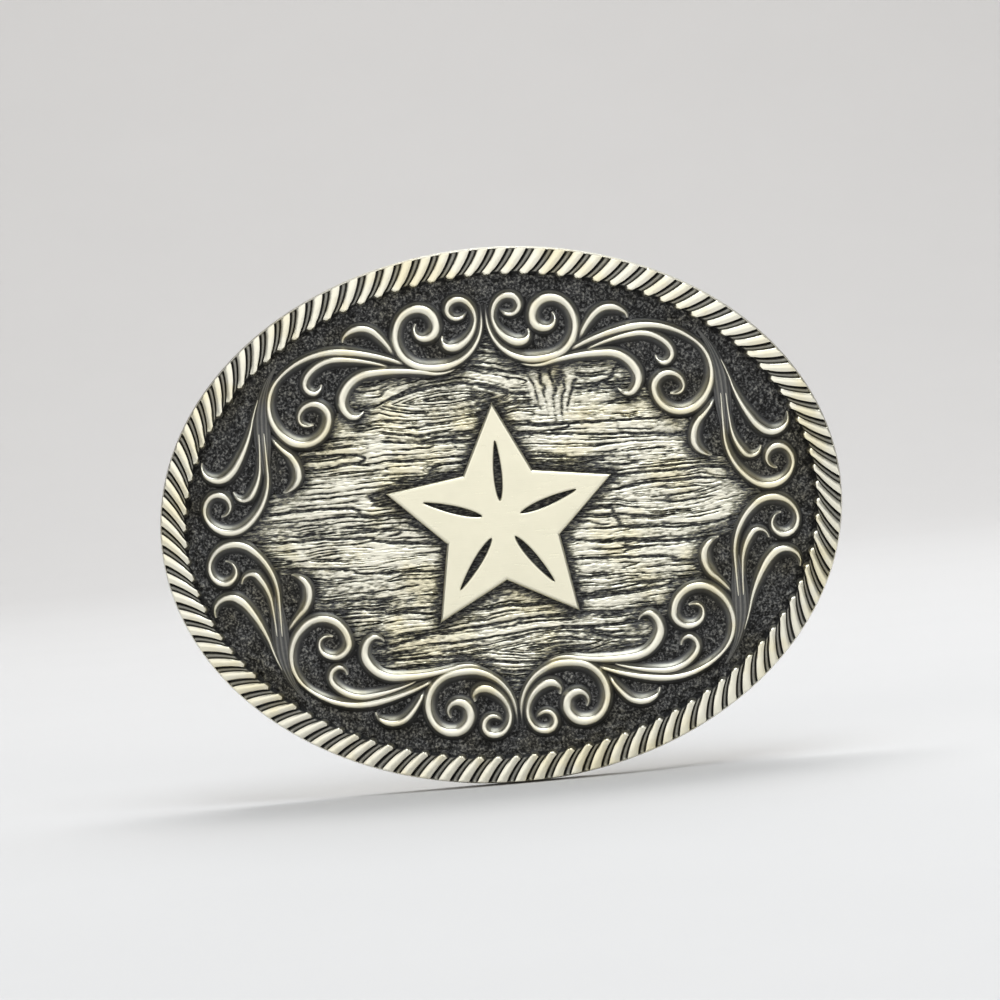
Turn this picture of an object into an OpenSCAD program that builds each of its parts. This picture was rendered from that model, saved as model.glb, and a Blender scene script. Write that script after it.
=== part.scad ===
// Oval trophy belt buckle: a curved plate with a rope edge, scroll overlays
// and a star emblem in front, and a swinging strap loop and a hook behind.
// Millimetres. +Z is up as worn, the decorated face looks along -Y.
// The origin is the middle of the foot of the bounding box.

/* [Plate] */
// Width of the oval plate
plate_width = 90; // [76:0.5:105]
// Height of the oval plate
plate_height = 70; // [58:0.5:80]
// Thickness of the plate
plate_thickness = 2; // [1.5:0.1:3]
// Radius of the plate's front face, which is bent about an upright line behind it
bend_radius = 200; // [150:5:400]

/* [Rope border] */
// Bare rim of plate left outside the rope
rim_width = 0.5; // [0.3:0.1:1.5]
// Width of the rope ring
rope_width = 3.4; // [2.5:0.1:5]
// Height of the rope above the plate
rope_height = 1.7; // [1:0.1:2.5]

/* [Ornament] */
// Height of the scrolls above the plate
scroll_height = 1; // [0.5:0.1:1.5]
// Sloping flank added along both sides of every scroll
scroll_flank = 0.25; // [0.1:0.05:0.4]
// Radius of the star's points
star_radius = 15.5; // [10:0.5:16]
// Radius of the star's inner corners, as a share of the points' radius
star_inner_share = 0.5; // [0.4:0.02:0.6]
// Height of the star above the plate
star_height = 1.3; // [0.8:0.1:1.6]
// Distance of the star's centre below the plate's centre
star_drop = 0.7; // [0:0.1:2]

/* [Strap loop] */
// Clear length of the loop along its hinge, for the width of the strap
loop_opening_length = 40; // [34:0.5:42]
// Clear depth of the loop
loop_opening_depth = 12; // [9:0.5:14]
// Diameter of the loop's wire
loop_wire = 3; // [2.4:0.1:3.6]
// Radius of the loop's corners along the middle of the wire
loop_corner = 3; // [2.5:0.1:4]
// Distance from the plate's centre to the loop's hinge, along the back
hinge_offset = 16; // [12:0.5:18]
// Height of the hinge line above the plate's back
hinge_height = 4.2; // [4:0.1:6]
// Radial clearance of the loop's wire in its knuckles
hinge_clearance = 0.06; // [0.03:0.01:0.1]
// Outer diameter of a knuckle
knuckle_diameter = 5; // [4.6:0.1:6]
// Length of a knuckle
knuckle_length = 6; // [4:0.5:8]
// Distance between the middles of the two knuckles
knuckle_spacing = 20; // [14:0.5:26]
// Length of the strip that the knuckles stand on
strip_length = 32; // [28:0.5:36]
// Width of the strip
strip_width = 10; // [8:0.5:14]
// Thickness of the strip
strip_thickness = 1.2; // [0.8:0.1:1.6]

/* [Hook] */
// Distance from the plate's centre to the hook, along the back
hook_offset = 29; // [22:0.5:32]
// Diameter of the hook's peg
hook_diameter = 4; // [3:0.1:5]
// Length of the peg's straight part
hook_length = 6; // [4:0.5:9]
// Diameter of the pad that the peg stands on
pad_diameter = 9; // [7:0.5:12]
// Thickness of the pad at its middle
pad_thickness = 1.2; // [0.8:0.1:2]

/* [Hidden] */
$fn = 96;
half_width = plate_width / 2;
half_height = plate_height / 2;
back_radius = bend_radius - plate_thickness;
hook_turn = -asin(hook_offset / back_radius);
hinge_turn = asin(hinge_offset / back_radius);
// Reach of the rope in front and of the hook's domed tip behind, both from
// the plate's front face at its middle
front_reach = rope_height;
hook_reach = bend_radius + hook_diameter / 2
  - (back_radius - pad_thickness - hook_length) * cos(hook_turn);
// The front face at the plate's middle, and the line the plate is bent about
face_y = (front_reach - hook_reach) / 2;
bend_y = face_y + bend_radius;
loop_depth = loop_opening_depth + loop_wire;
loop_half = (loop_opening_length + loop_wire) / 2;
knuckle_bore = loop_wire / 2 + hinge_clearance;
slack = 0.06;

// Every leaf is a chain of arcs in the plane of the upper right quarter,
// measured from the plate's centre: [x, y, heading, width at the start,
// [[length, turn in degrees, width at the arc's end], ...]]
small_scroll = [2.2, 26.8, -60, 0.2, [[0.9, 22, 0.5], [4.3, 199, 0.9],
  [2.2, 68, 0.7], [2.7, 54, 0.5], [3.9, 54, 1.1], [1.2, 36, 1], [2, 103, 0.2]]];
large_scroll = [0.4, 25.4, -86, 0.3, [[8.7, 84, 1.3], [2.4, 14, 1.3],
  [8, 111, 0.8], [3.2, 64, 1], [3.7, 93, 1], [1.2, 48, 1], [0.9, 27, 0.9],
  [2.9, 135, 0.2]]];
low_leaf = [7.6, 19.3, 13, 0.3, [[8.1, -17, 1], [4.6, -63, 1.2],
  [3, -74, 0.9], [0.9, -48, 0.7], [1.4, -60, 0.2]]];
middle_leaf = [12.6, 20.4, 22, 0.2, [[6.9, -17, 0.8], [4.7, -53, 0.8],
  [0.8, -19, 0.8], [2.1, -94, 0.7], [0.8, -53, 0.5], [1.1, -56, 0.2]]];
long_scroll = [10.6, 20.6, 25, 0.4, [[8.7, -18, 0.9], [9.1, -50, 0.5],
  [8.5, -93, 0.9], [0.8, -6, 1], [7.5, -126, 0.9], [0.8, -30, 0.9],
  [3.8, -107, 0.6], [1.4, -50, 0.4], [1.2, -70, 0.4], [1.1, -35, 0.2]]];
top_leaf = [12, 21.9, 65, 0.4, [[3.8, -20, 0.8], [2.9, -57, 0.9],
  [1.5, -29, 0.5], [1, -47, 0.2]]];
outer_leaf = [29.7, 19.2, -63, 0.1, [[4.9, -11, 0.3], [6, 19, 1],
  [1.7, 20, 1.1], [2.8, 72, 0.7], [2.3, 70, 0.1]]];
short_leaf = [30.6, 14.3, -90, 0.2, [[5.4, 6, 0.4], [3.9, 32, 0.8],
  [2.3, 105, 0.4], [0.8, 26, 0.1]]];
side_scroll = [30, 14.3, -91, 0.2, [[6.2, 1, 0.4], [7.5, 52, 0.9],
  [3.3, 51, 0.9], [3.2, 56, 0.6], [2.7, 68, 0.7], [1.9, 66, 0.9],
  [1.5, 54, 0.5], [2.4, 101, 0.1]]];
inner_leaf = [29.2, 12.9, -123, 0.3, [[3.3, -15, 0.7], [0.9, 14, 0.9],
  [2.3, 38, 1.1], [1.4, 40, 0.8], [1.9, 31, 0.2]]];
// Corners of the stem that the four side leaves grow from
side_stem = [[28.2, 20.7], [29.6, 19.3], [30.9, 16.6], [31.9, 13.6],
  [31.6, 10.4], [31.1, 8], [30.2, 8], [29.9, 10.4], [29, 13.2],
  [29.5, 15.6], [29.3, 18]];

// Points along a chain of arcs, each [x, y, heading, half width]
function steps(arc) = max(1, ceil(abs(arc[1]) / 15));
function walk(x, y, heading, half, arcs, i = 0, k = 0) =
  i >= len(arcs) ? [[x, y, heading, half]] :
  let (
    n = steps(arcs[i]),
    length = arcs[i][0] / n,
    turn = arcs[i][1] / n,
    next_half = half + (arcs[i][2] / 2 - half) / (n - k),
    middle = heading + turn / 2,
    last = k + 1 == n
  )
  concat([[x, y, heading, half]],
    walk(x + length * cos(middle), y + length * sin(middle), heading + turn,
      next_half, arcs, last ? i + 1 : i, last ? 0 : k + 1));

// The outline of one leaf, widened by grow on both sides except at its tips
module leaf(shape, grow = scroll_flank) {
  line = walk(shape[0], shape[1], shape[2], shape[3] / 2, shape[4]);
  end = len(line) - 1;
  edges = [for (side = [1, -1]) [for (i = [0 : end])
    let (p = line[i], reach = side * (p[3] + (i == 0 || i == end ? 0 : grow)))
    [p[0] - reach * sin(p[2]), p[1] + reach * cos(p[2])]]];
  polygon(concat(edges[0], [for (i = [end : -1 : 0]) edges[1][i]]));
}

module oval(inset) {
  scale([half_width - inset, half_height - inset]) circle(r = 1);
}

module five_point_star() {
  polygon([for (i = [0 : 9])
    let (r = star_radius * (i % 2 == 0 ? 1 : star_inner_share))
    [r * sin(36 * i), r * cos(36 * i)]]);
}

module spray_outline() {
  leaf(large_scroll);
  leaf(low_leaf);
  leaf(middle_leaf);
  leaf(long_scroll);
  leaf(top_leaf);
}

// Kept clear of the large scroll beside it
module small_outline() {
  difference() {
    leaf(small_scroll);
    leaf(large_scroll, scroll_flank + slack);
  }
}

// Kept clear of the long scroll that the stem leans on
module side_outline() {
  difference() {
    union() {
      leaf(outer_leaf);
      leaf(short_leaf);
      leaf(side_scroll);
      leaf(inner_leaf);
      polygon(side_stem);
    }
    leaf(long_scroll, scroll_flank + slack);
  }
}

// An upright outline cut out of the bent layer between two radii
module bent_layer(inner, outer) {
  intersection() {
    translate([0, bend_y - bend_radius + 20, half_height])
      rotate([90, 0, 0]) linear_extrude(height = 40) children();
    difference() {
      translate([0, bend_y, -1]) cylinder(r = outer, h = plate_height + 2, $fn = 360);
      translate([0, bend_y, -2]) cylinder(r = inner, h = plate_height + 4, $fn = 360);
    }
  }
}

// One quarter's ornament, mirrored to the quarter named by two signs
module quarter(side, level) {
  bent_layer(bend_radius, bend_radius + scroll_height)
    scale([side, level]) children();
}

// Puts parts made with +Y away from the back onto the plate's back
module on_back(turn) {
  translate([0, bend_y, half_height]) rotate([0, 0, turn])
    translate([0, -back_radius, 0]) children();
}

// Trims the foot of a fitting to the bent back of the plate
module fitted_foot(turn) {
  intersection() {
    on_back(turn) children();
    translate([0, bend_y, 0]) cylinder(r = back_radius, h = plate_height, $fn = 360);
  }
}

module base_plate() {
  color("#3e4046") bent_layer(back_radius, bend_radius) oval(0);
}

module rope_border() {
  color("#d8cf9c") {
    bent_layer(bend_radius, bend_radius + rope_height * 0.6) difference() {
      oval(rim_width);
      oval(rim_width + rope_width);
    }
    bent_layer(bend_radius + rope_height * 0.6, bend_radius + rope_height) difference() {
      oval(rim_width + rope_width * 0.15);
      oval(rim_width + rope_width * 0.85);
    }
  }
}

module small_scroll_upper_right() { color("#e6dfb2") quarter(1, 1) small_outline(); }
module small_scroll_upper_left() { color("#e6dfb2") quarter(-1, 1) small_outline(); }
module small_scroll_lower_right() { color("#e6dfb2") quarter(1, -1) small_outline(); }
module small_scroll_lower_left() { color("#e6dfb2") quarter(-1, -1) small_outline(); }

module spray_upper_right() { color("#e6dfb2") quarter(1, 1) spray_outline(); }
module spray_upper_left() { color("#e6dfb2") quarter(-1, 1) spray_outline(); }
module spray_lower_right() { color("#e6dfb2") quarter(1, -1) spray_outline(); }
module spray_lower_left() { color("#e6dfb2") quarter(-1, -1) spray_outline(); }

module side_leaves_upper_right() { color("#e6dfb2") quarter(1, 1) side_outline(); }
module side_leaves_upper_left() { color("#e6dfb2") quarter(-1, 1) side_outline(); }
module side_leaves_lower_right() { color("#e6dfb2") quarter(1, -1) side_outline(); }
module side_leaves_lower_left() { color("#e6dfb2") quarter(-1, -1) side_outline(); }

// A star with a narrow tapered slot cut through along each arm
module star_emblem() {
  color("#efe9c6") bent_layer(bend_radius, bend_radius + star_height)
    translate([0, -star_drop]) difference() {
      five_point_star();
      for (i = [0 : 4]) rotate(72 * i)
        polygon([[-0.55, 2.6], [0.55, 2.6], [0.2, 10.5], [-0.2, 10.5]]);
    }
}

module hinge_strip() {
  color("#b5a873") fitted_foot(hinge_turn)
    translate([-strip_width / 2, -1, -strip_length / 2])
      cube([strip_width, strip_thickness + 1, strip_length]);
}

// A tube round the loop's wire on a block that stands on the strip
module knuckle(middle) {
  color("#b5a873") on_back(hinge_turn)
    translate([0, hinge_height, middle - knuckle_length / 2]) difference() {
      union() {
        cylinder(d = knuckle_diameter, h = knuckle_length);
        translate([-knuckle_diameter / 2, strip_thickness - hinge_height, 0])
          cube([knuckle_diameter, hinge_height - strip_thickness, knuckle_length]);
      }
      translate([0, 0, -1]) cylinder(r = knuckle_bore, h = knuckle_length + 2);
    }
}

module knuckle_upper() { knuckle(knuckle_spacing / 2); }
module knuckle_lower() { knuckle(-knuckle_spacing / 2); }

// A straight stretch of the loop's wire
module wire(length) {
  cylinder(d = loop_wire, h = length);
}

// A quarter bend of the loop's wire, from +X round to +Y
module wire_bend() {
  rotate_extrude(angle = 90) translate([loop_corner, 0]) circle(d = loop_wire);
}

// A closed oblong of wire whose inner side turns in the knuckles
module strap_loop() {
  straight = 2 * (loop_half - loop_corner);
  arm = loop_depth - 2 * loop_corner;
  color("#cfc592") on_back(hinge_turn) translate([0, hinge_height, 0]) {
    for (x = [0, loop_depth]) translate([x, 0, -straight / 2]) wire(straight);
    for (z = [-loop_half, loop_half])
      translate([loop_corner, 0, z]) rotate([0, 90, 0]) wire(arm);
    for (level = [-1, 1]) scale([1, 1, level]) {
      translate([loop_corner, 0, straight / 2]) rotate([90, 0, 0]) rotate([0, 0, 90])
        wire_bend();
      translate([loop_depth - loop_corner, 0, straight / 2]) rotate([90, 0, 0]) wire_bend();
    }
  }
}

module hook_pad() {
  color("#b5a873") fitted_foot(hook_turn)
    translate([0, -1, 0]) rotate([-90, 0, 0])
      cylinder(d = pad_diameter, h = pad_thickness + 1);
}

// A peg with a domed tip, square to the bent back and so leaning inwards
module hook_peg() {
  color("#cfc592") on_back(hook_turn)
    translate([0, pad_thickness, 0]) rotate([-90, 0, 0]) {
      cylinder(d = hook_diameter, h = hook_length);
      intersection() {
        translate([0, 0, hook_length]) sphere(d = hook_diameter);
        translate([0, 0, hook_length]) cylinder(d = hook_diameter + 1, h = hook_diameter);
      }
    }
}

base_plate();
rope_border();
small_scroll_upper_right();
small_scroll_upper_left();
small_scroll_lower_right();
small_scroll_lower_left();
spray_upper_right();
spray_upper_left();
spray_lower_right();
spray_lower_left();
side_leaves_upper_right();
side_leaves_upper_left();
side_leaves_lower_right();
side_leaves_lower_left();
star_emblem();
hinge_strip();
knuckle_upper();
knuckle_lower();
strap_loop();
hook_pad();
hook_peg();
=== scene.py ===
"""Builds the surfaces, finishes and studio of an oval trophy belt buckle around its frame."""

import math

import bpy
import numpy as np
from mathutils import Matrix, Vector


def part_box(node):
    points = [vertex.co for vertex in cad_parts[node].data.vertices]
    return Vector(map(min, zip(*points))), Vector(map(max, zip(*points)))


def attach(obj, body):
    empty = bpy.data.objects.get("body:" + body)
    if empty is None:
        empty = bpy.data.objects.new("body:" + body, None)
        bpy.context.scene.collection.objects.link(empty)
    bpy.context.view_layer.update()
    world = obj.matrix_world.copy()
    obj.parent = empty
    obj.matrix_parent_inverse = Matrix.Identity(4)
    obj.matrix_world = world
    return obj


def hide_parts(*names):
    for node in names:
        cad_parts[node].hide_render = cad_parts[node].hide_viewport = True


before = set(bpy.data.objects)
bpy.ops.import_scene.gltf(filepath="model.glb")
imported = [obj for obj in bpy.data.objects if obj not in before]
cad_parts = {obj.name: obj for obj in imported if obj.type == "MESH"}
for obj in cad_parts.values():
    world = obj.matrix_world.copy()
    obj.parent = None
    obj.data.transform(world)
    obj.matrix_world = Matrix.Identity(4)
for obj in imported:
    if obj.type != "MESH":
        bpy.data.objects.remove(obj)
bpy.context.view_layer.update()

bl_info = {
    "name": "Oval trophy belt buckle",
    "version": (1, 0, 0),
    "blender": (4, 5, 0),
    "location": "3D View > Sidebar > Buckle",
    "description": "Builds the relief, the fittings and the studio of an oval belt buckle",
    "category": "Add Mesh",
}

# The plate in millimetres, read from the frame. x runs right and z up from the
# plate's centre, and height is measured out of its curved front.
MM = 0.001
PLATE_LOW, PLATE_HIGH = [np.array(corner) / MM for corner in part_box("base_plate")]
HALF_WIDTH = (PLATE_HIGH[0] - PLATE_LOW[0]) / 2
HALF_HEIGHT = (PLATE_HIGH[2] - PLATE_LOW[2]) / 2
MIDDLE_Z = (PLATE_HIGH[2] + PLATE_LOW[2]) / 2
BEND = 200.0
BEND_Y = PLATE_LOW[1] + BEND
PLATE_THICKNESS = 2.0
BACK = BEND - PLATE_THICKNESS

# Pieces on the front have their feet this far inside the plate
FOOT = -0.2

# The star's inner corners as a share of its radius, and its middle below the plate's
STAR_WAIST = 0.5
STAR_DROP = 0.7

# Behind the plate: the turns about the bend axis that bring a piece from the middle to the
# hinge and to the hook, and the lift of the loop's wire above the back
HINGE_TURN = math.asin(16.0 / BACK)
HOOK_TURN = -math.asin(29.0 / BACK)
WIRE_LIFT = 4.2

# Every leaf is a chain of arcs in the upper right quarter:
# (x, z, heading, width at the start, [(length, turn in degrees, width at its end)])
SMALL_SCROLL = (2.1, 26.91, -60, 0.2, [(0.9, 22, 0.5), (4.3, 199, 0.9), (2.2, 68, 0.7),
    (2.7, 54, 0.5), (3.9, 54, 1.1), (1.2, 36, 1.05), (2.0, 103, 0.2)])
LARGE_SCROLL = (0.32, 27.61, -92, 0.12, [(2.2, 6, 0.35), (8.7, 84, 1.0), (2.4, 14, 0.95),
    (8.0, 111, 0.95), (3.2, 64, 1.2), (3.7, 93, 1.2), (1.2, 48, 1.15), (0.9, 27, 0.95),
    (2.9, 135, 0.12)])
LOW_LEAF = (3.9, 19.72, -28, 0.2, [(3.8, 41, 0.6), (8.1, -17, 1.0), (4.6, -63, 1.25),
    (3.0, -74, 0.9), (0.9, -48, 0.65), (1.4, -60, 0.15)])
MIDDLE_LEAF = (12.62, 20.43, 22, 0.2, [(6.9, -17, 0.8), (4.7, -53, 0.8), (0.8, -19, 0.75),
    (2.1, -94, 0.7), (0.8, -53, 0.55), (1.1, -56, 0.15)])
LONG_SCROLL = (10.64, 20.62, 25, 0.4, [(8.7, -18, 0.95), (9.1, -50, 0.5), (8.5, -93, 0.9),
    (0.8, -6, 1.0), (7.5, -126, 0.95), (0.8, -30, 0.95), (3.8, -107, 0.65),
    (1.4, -50, 0.4), (1.2, -70, 0.4), (1.1, -35, 0.15)])
TOP_LEAF = (12.05, 21.87, 65, 0.4, [(3.8, -20, 0.85), (2.9, -57, 0.9), (1.5, -29, 0.55),
    (1.0, -47, 0.12)])
OUTER_LEAF = (29.66, 19.24, -63, 0.12, [(4.9, -11, 0.34), (6.0, 19, 1.0), (1.7, 20, 1.1),
    (2.8, 72, 0.7), (2.3, 70, 0.1)])
SHORT_LEAF = (30.55, 15.58, -81, 0.1, [(1.3, -9, 0.2), (5.4, 6, 0.37), (3.9, 32, 0.83),
    (2.3, 105, 0.37), (0.8, 26, 0.12)])
SIDE_SCROLL = (29.93, 15.59, -82, 0.1, [(1.3, -9, 0.2), (6.2, 1, 0.41), (7.5, 52, 0.87),
    (3.3, 51, 0.94), (3.2, 56, 0.55), (2.7, 68, 0.72), (1.9, 66, 0.85), (1.5, 54, 0.51),
    (2.4, 101, 0.12)])
INNER_LEAF = (29.22, 12.88, -123, 0.3, [(3.3, -15, 0.68), (0.9, 14, 0.85), (2.3, 38, 1.08),
    (1.4, 40, 0.8), (1.9, 31, 0.15)])
SIDE_STEM = (27.5, 22.0, -49, 0.15, [(3.7, -21, 1.3), (3.6, -16, 2.5), (3.5, -4, 2.3),
    (5.0, -1, 0.7)])
# A leaf that starts narrower than this starts as a hair line
HAIR_LINE = 0.15
LEAVES = (SMALL_SCROLL, LARGE_SCROLL, LOW_LEAF, MIDDLE_LEAF, LONG_SCROLL, TOP_LEAF,
    OUTER_LEAF, SHORT_LEAF, SIDE_SCROLL, INNER_LEAF)

# Half width of the wood-grain panel at falling heights, under the scrolls' edges
PANEL_EDGE = ((25.4, 0.05), (23.6, 0.6), (21.8, 1.6), (20.2, 3.4), (19.7, 6.0), (19.6, 14.0),
    (19.2, 17.0), (18.0, 18.8), (16.3, 19.4), (15.6, 19.9), (14.2, 21.2), (12.5, 22.0),
    (11.4, 24.0), (10.2, 25.8), (7.7, 26.0), (6.6, 26.3), (5.8, 27.2), (5.35, 28.4),
    (5.2, 30.2), (4.0, 31.0), (2.7, 32.0), (1.4, 33.4), (0.6, 34.4), (0.0, 34.6))
PANEL_TOP = PANEL_EDGE[0][0]

# Places where the wood's lines part: (x, z, reach along x, half height)
KNOTS = ((-6.0, 15.6, 8.6, 2.4), (23.0, 2.0, 7.5, 1.3), (-20.0, -3.6, 6.0, 0.6),
    (5.0, -17.4, 8.0, 1.3), (-13.0, 3.2, 7.0, 0.5))


# ---------------------------------------------------------------- patterns

def smooth(low, high, value):
    """0 below low, 1 above high, and 3t^2 - 2t^3 in between."""
    t = np.clip((value - low) / (high - low), 0.0, 1.0)
    return t * t * (3.0 - 2.0 * t)


def lattice(i, j, seed):
    """A fixed scrambled number from -1 to 1 for every whole-number pair."""
    mixed = np.sin(i * 127.1 + j * 311.7 + seed * 74.7) * 43758.5453
    return 2.0 * (mixed - np.floor(mixed)) - 1.0


def noise(x, z, seed):
    """Value noise from -1 to 1: lattice numbers blended with smooth steps."""
    i, j = np.floor(x), np.floor(z)
    u, v = x - i, z - j
    u = u * u * (3.0 - 2.0 * u)
    v = v * v * (3.0 - 2.0 * v)
    low = lattice(i, j, seed) * (1 - u) + lattice(i + 1, j, seed) * u
    high = lattice(i, j + 1, seed) * (1 - u) + lattice(i + 1, j + 1, seed) * u
    return low * (1 - v) + high * v


def star_corner(radius):
    """The corner between two arms, along and across the arm's axis."""
    return radius * STAR_WAIST * np.array([math.cos(math.pi / 5), math.sin(math.pi / 5)])


def star_distance(x, z, radius):
    """Distance outside the star's outline, negative inside: the plane is folded onto
    one half arm, and the distance is taken to the straight edge from tip to corner."""
    z = z + STAR_DROP
    angle = np.arctan2(x, z)
    fold = np.abs((angle + math.pi / 5) % (2 * math.pi / 5) - math.pi / 5)
    r = np.hypot(x, z)
    u, v = r * np.cos(fold), r * np.sin(fold)
    corner_u, corner_v = star_corner(radius)
    edge_u, edge_v = radius - corner_u, -corner_v
    length = math.hypot(edge_u, edge_v)
    along = np.clip(((u - corner_u) * edge_u + (v - corner_v) * edge_v) / length ** 2, 0, 1)
    gap = np.hypot(u - corner_u - along * edge_u, v - corner_v - along * edge_v)
    side = (u - corner_u) * edge_v - (v - corner_v) * edge_u
    return np.where(side > 0, -gap, gap)


def follow(shape, step=0.14):
    """x, z, heading, width and bend along a chain of arcs. A fraction f along an arc lies
    at chord length * f * sin(a) / a from its start, with a half the angle turned so far.
    The bend is 1 to the left and -1 to the right, smoothed along with the width."""
    x, z, heading, width, arcs = shape
    heading = math.radians(heading)
    rows = [np.array([[x, z, heading, width, 0.0]])]
    for length, turn, end_width in arcs:
        turn = math.radians(turn)
        f = np.arange(1, max(3, math.ceil(length / step)) + 1)
        f = f / f[-1]
        chord = length * f * np.sinc(turn * f / (2 * math.pi))
        direction = heading + turn * f / 2
        rows.append(np.stack([x + chord * np.cos(direction), z + chord * np.sin(direction),
            heading + turn * f, width + (end_width - width) * f,
            np.full(len(f), np.sign(turn))], axis=1))
        x, z, heading, width = rows[-1][-1, :4]
    path = np.concatenate(rows)
    path[0, 4] = path[1, 4]
    kernel = np.hanning(13) / np.hanning(13).sum()
    padded = np.pad(path[:, 3:], ((6, 6), (0, 0)), mode="edge")
    path[:, 3] = np.convolve(padded[:, 0], kernel, "valid")
    path[:, 4] = np.convolve(padded[:, 1], kernel, "valid")
    return path


def scroll_distance(x, z):
    """Distance from each point to the nearest edge of a leaf's crest, by mirroring the
    point into the upper right quarter."""
    paths = np.concatenate([follow(leaf, 0.3) for leaf in LEAVES])
    flat = np.stack([np.abs(x).ravel(), np.abs(z).ravel()], axis=1)
    nearest = np.empty(len(flat))
    for start in range(0, len(flat), 4096):
        part = flat[start:start + 4096]
        gap = np.hypot(part[:, :1] - paths[:, 0], part[:, 1:] - paths[:, 1]) - paths[:, 3] / 2
        nearest[start:start + 4096] = gap.min(axis=1)
    return nearest.reshape(x.shape)


# ---------------------------------------------------------------- surfaces

def on_front(x, z, height):
    """Places plan points at a height above the bent front: y = bend axis less
    sqrt((radius + height)^2 - x^2)."""
    y = BEND_Y - np.sqrt((BEND + height) ** 2 - x ** 2)
    return np.stack([x, y, z + MIDDLE_Z], axis=-1) * MM


def on_back(turn, x, y, z):
    """Places points built with +Y away from the back, turned about the bend axis."""
    away = y - BACK
    return np.stack([x * math.cos(turn) - away * math.sin(turn),
        x * math.sin(turn) + away * math.cos(turn) + BEND_Y, z + MIDDLE_Z], axis=-1) * MM


def grid_faces(rows, columns, close_rows=False, close_columns=True):
    """Quads between neighbouring rows and columns of a grid of numbered points."""
    index = np.arange(rows * columns).reshape(rows, columns)
    if close_rows:
        index = np.concatenate([index, index[:1]])
    beside = np.roll(index, -1, axis=1)
    if not close_columns:
        index, beside = index[:, :-1], beside[:, :-1]
    return np.stack([index[:-1], beside[:-1], beside[1:], index[1:]], axis=-1).reshape(-1, 4)


def tube(points, wear):
    """A grid of points, rows along and closed columns around, with its first and last
    rows capped by fans round their middles."""
    rows, columns = points.shape[:2]
    faces = grid_faces(rows, columns)
    ends = np.stack([points[0].mean(axis=0), points[-1].mean(axis=0)])
    all_points = np.concatenate([points.reshape(-1, 3), ends])
    all_wear = np.concatenate([wear.reshape(-1), [wear[0].mean(), wear[-1].mean()]])
    around = np.arange(columns)
    beside = np.roll(around, -1)
    start, end = rows * columns, rows * columns + 1
    near = np.stack([beside, around, np.full(columns, start)], axis=1)
    last = (rows - 1) * columns
    far = np.stack([around + last, beside + last, np.full(columns, end)], axis=1)
    return all_points, [faces, near, far], all_wear


def hoop(points, wear):
    """A grid of points closed both ways, rows along a ring and columns around."""
    rows, columns = points.shape[:2]
    return points.reshape(-1, 3), [grid_faces(rows, columns, close_rows=True)], wear.reshape(-1)


def make_piece(name, shells, material, body, node, smooth_angle=40.0):
    """One mesh object from several closed shells of points, faces and wear."""
    points, faces, wear, count = [], [], [], 0
    for shell_points, shell_faces, shell_wear in shells:
        points.append(shell_points)
        wear.append(shell_wear)
        faces.extend(block + count for block in shell_faces)
        count += len(shell_points)
    corners = np.concatenate([block.ravel() for block in faces])
    sizes = np.concatenate([np.full(len(block), block.shape[1]) for block in faces])
    mesh = bpy.data.meshes.new(name)
    mesh.vertices.add(count)
    mesh.vertices.foreach_set("co", np.concatenate(points).astype(np.float32).ravel())
    mesh.loops.add(len(corners))
    mesh.loops.foreach_set("vertex_index", corners.astype(np.int32))
    mesh.polygons.add(len(sizes))
    starts = np.concatenate([[0], np.cumsum(sizes)[:-1]])
    mesh.polygons.foreach_set("loop_start", starts.astype(np.int32))
    mesh.polygons.foreach_set("use_smooth", np.ones(len(sizes), dtype=bool))
    mesh.update(calc_edges=True)
    mesh.validate()
    layer = mesh.attributes.new("wear", "FLOAT", "POINT")
    layer.data.foreach_set("value", np.concatenate(wear).astype(np.float32))
    if signed_volume(mesh) < 0:
        mesh.flip_normals()
    mesh.set_sharp_from_angle(angle=math.radians(smooth_angle))
    mesh.materials.append(material)
    piece = bpy.data.objects.new(name, mesh)
    bpy.context.scene.collection.objects.link(piece)
    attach(piece, body)
    if node:
        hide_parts(node)
    return piece


def signed_volume(mesh):
    """Volume inside a closed mesh, negative where its faces point inwards."""
    mesh.calc_loop_triangles()
    corners = np.empty(len(mesh.loop_triangles) * 3, dtype=np.int32)
    mesh.loop_triangles.foreach_get("vertices", corners)
    places = np.empty(len(mesh.vertices) * 3, dtype=np.float32)
    mesh.vertices.foreach_get("co", places)
    a, b, c = places.reshape(-1, 3)[corners.reshape(-1, 3)].astype(float).transpose(1, 0, 2)
    return np.einsum("ij,ij->i", a, np.cross(b, c)).sum() / 6


def mirrored(shell, side, level):
    """A shell mirrored to another quarter, turned right side out again."""
    points, faces, wear = shell
    points = points.copy()
    points[:, 0] *= side
    points[:, 2] = (points[:, 2] - MIDDLE_Z * MM) * level + MIDDLE_Z * MM
    if side * level < 0:
        faces = [block[:, ::-1] for block in faces]
    return points, faces, wear


# ---------------------------------------------------------------- finishes

class Wire:
    """A shader output that takes part in sums: each operator adds one Math node."""

    def __init__(self, finish, socket):
        self.finish = finish
        self.socket = socket

    def math(self, operation, first, second):
        """Adds one Math node on two wires or numbers."""
        return self.finish.node("ShaderNodeMath", {"operation": operation},
            {0: first, 1: second})

    def __add__(self, other):
        return self.math("ADD", self, other)

    def __radd__(self, other):
        return self.math("ADD", other, self)

    def __sub__(self, other):
        return self.math("SUBTRACT", self, other)

    def __rsub__(self, other):
        return self.math("SUBTRACT", other, self)

    def __mul__(self, other):
        return self.math("MULTIPLY", self, other)

    def __rmul__(self, other):
        return self.math("MULTIPLY", other, self)

    def between(self, low, high):
        """0 below low and 1 above high, with a smooth step between."""
        return self.finish.node("ShaderNodeMapRange", {"interpolation_type": "SMOOTHSTEP"},
            {"Value": self, "From Min": low, "From Max": high})


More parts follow.
